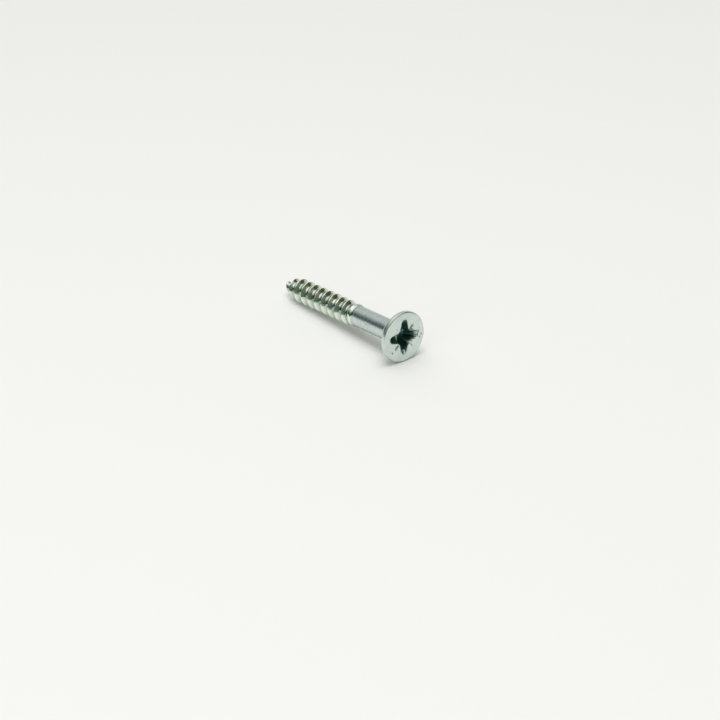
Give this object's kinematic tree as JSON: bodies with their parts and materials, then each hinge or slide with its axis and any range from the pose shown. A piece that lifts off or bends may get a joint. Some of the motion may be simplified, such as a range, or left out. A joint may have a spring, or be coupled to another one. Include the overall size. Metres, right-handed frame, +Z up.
{
  "type": "wood screw",
  "caption": "Countersunk wood screw with a cross recess, a short plain shank, a coarse right-hand thread and a gimlet point.",
  "frame": {"origin": "centre of the head's flat face, on the screw's axis", "axes": "+Z up from the surface the screw lies on; the head is at +X and the point at -X; the screw's axis lies in the XZ plane and slopes down to the point by 4.7 degrees, because the screw rests on its head's rim and its thread"},
  "size_m": [0.0257, 0.007, 0.007],
  "materials": {
    "zinc_head": "bright zinc plate with a pale blue-green passivate",
    "zinc_shank": "bright zinc plate, drawn smooth",
    "zinc_thread": "bright zinc plate over rolled thread flanks"
  },
  "bodies": {
    "root": {"countersunk_head": "zinc_head", "plain_shank": "zinc_shank", "runout_collar": "zinc_shank", "thread_core": "zinc_thread", "thread": "zinc_thread", "gimlet_point": "zinc_thread"}
  },
  "joints": []
}
